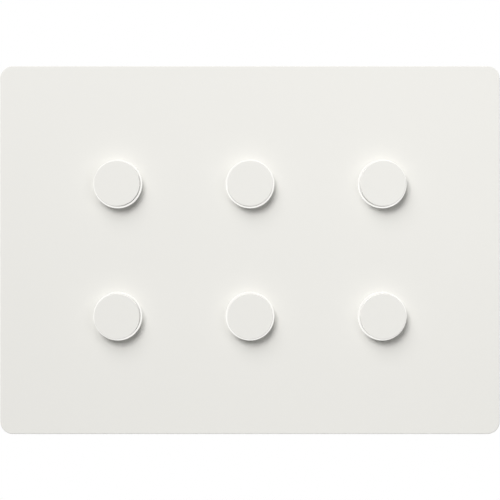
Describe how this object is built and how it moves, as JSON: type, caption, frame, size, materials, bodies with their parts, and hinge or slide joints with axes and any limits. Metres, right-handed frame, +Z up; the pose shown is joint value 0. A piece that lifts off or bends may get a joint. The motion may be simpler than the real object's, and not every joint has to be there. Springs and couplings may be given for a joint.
{
  "type": "lighting keypad",
  "caption": "Landscape wall keypad for room lighting: an off-white plate with round push buttons, each in a thin lit ring, on a steel yoke with a rear housing for the wall box.",
  "frame": {"origin": "middle of the two wall box screw slots, on the wall's surface, which is the yoke's back face", "axes": "+X to the right and +Z up as seen from the room, +Y into the wall; the buttons face -Y"},
  "size_m": [0.12, 0.0283, 0.0884],
  "materials": {
    "faceplate_white": "fine matt moulded off-white",
    "button_white": "fine matt moulded off-white",
    "opal_ring": "opal light guide, lit warm white",
    "switch_black": "moulded black",
    "plunger_grey": "moulded grey",
    "lamp_white": "white lamp body",
    "carrier_black": "moulded matt black",
    "board_green": "green solder mask",
    "zinc_steel": "zinc plated, satin",
    "housing_grey": "moulded dark grey, fine grain",
    "screw_steel": "zinc plated",
    "terminal_green": "moulded green",
    "tinned_pin": "tinned",
    "chip_black": "moulded black",
    "ferrite_grey": "ferrite grey",
    "capacitor_can": "bare can"
  },
  "bodies": {
    "keypad": {"faceplate": "faceplate_white", "light_ring_1": "opal_ring", "light_ring_2": "opal_ring", "light_ring_3": "opal_ring", "light_ring_4": "opal_ring", "light_ring_5": "opal_ring", "light_ring_6": "opal_ring", "switch_body_1": "switch_black", "switch_body_2": "switch_black", "switch_body_3": "switch_black", "switch_body_4": "switch_black", "switch_body_5": "switch_black", "switch_body_6": "switch_black", "ring_led_1_left": "lamp_white", "ring_led_1_right": "lamp_white", "ring_led_2_left": "lamp_white", "ring_led_2_right": "lamp_white", "ring_led_3_left": "lamp_white", "ring_led_3_right": "lamp_white", "ring_led_4_left": "lamp_white", "ring_led_4_right": "lamp_white", "ring_led_5_left": "lamp_white", "ring_led_5_right": "lamp_white", "ring_led_6_left": "lamp_white", "ring_led_6_right": "lamp_white", "button_carrier": "carrier_black", "circuit_board": "board_green", "mounting_yoke": "zinc_steel", "rear_housing": "housing_grey", "assembly_screws": "screw_steel", "terminal_header": "terminal_green", "terminal_pins": "tinned_pin", "terminal_plug": "terminal_green", "microcontroller": "chip_black", "bus_transceiver": "chip_black", "voltage_regulator": "chip_black", "power_inductor": "ferrite_grey", "reservoir_capacitor": "capacitor_can"},
    "button_1": {"button_1": "button_white", "switch_plunger_1": "plunger_grey"},
    "button_2": {"button_2": "button_white", "switch_plunger_2": "plunger_grey"},
    "button_3": {"button_3": "button_white", "switch_plunger_3": "plunger_grey"},
    "button_4": {"button_4": "button_white", "switch_plunger_4": "plunger_grey"},
    "button_5": {"button_5": "button_white", "switch_plunger_5": "plunger_grey"},
    "button_6": {"button_6": "button_white", "switch_plunger_6": "plunger_grey"}
  },
  "joints": [
    {"name": "button_1_press", "type": "slide", "parent": "keypad", "child": "button_1", "axis": [0, 1, 0], "range_m": [0, 0.0008], "stiffness_N_per_m": 1500},
    {"name": "button_2_press", "type": "slide", "parent": "keypad", "child": "button_2", "axis": [0, 1, 0], "range_m": [0, 0.0008], "stiffness_N_per_m": 1500},
    {"name": "button_3_press", "type": "slide", "parent": "keypad", "child": "button_3", "axis": [0, 1, 0], "range_m": [0, 0.0008], "stiffness_N_per_m": 1500},
    {"name": "button_4_press", "type": "slide", "parent": "keypad", "child": "button_4", "axis": [0, 1, 0], "range_m": [0, 0.0008], "stiffness_N_per_m": 1500},
    {"name": "button_5_press", "type": "slide", "parent": "keypad", "child": "button_5", "axis": [0, 1, 0], "range_m": [0, 0.0008], "stiffness_N_per_m": 1500},
    {"name": "button_6_press", "type": "slide", "parent": "keypad", "child": "button_6", "axis": [0, 1, 0], "range_m": [0, 0.0008], "stiffness_N_per_m": 1500}
  ]
}
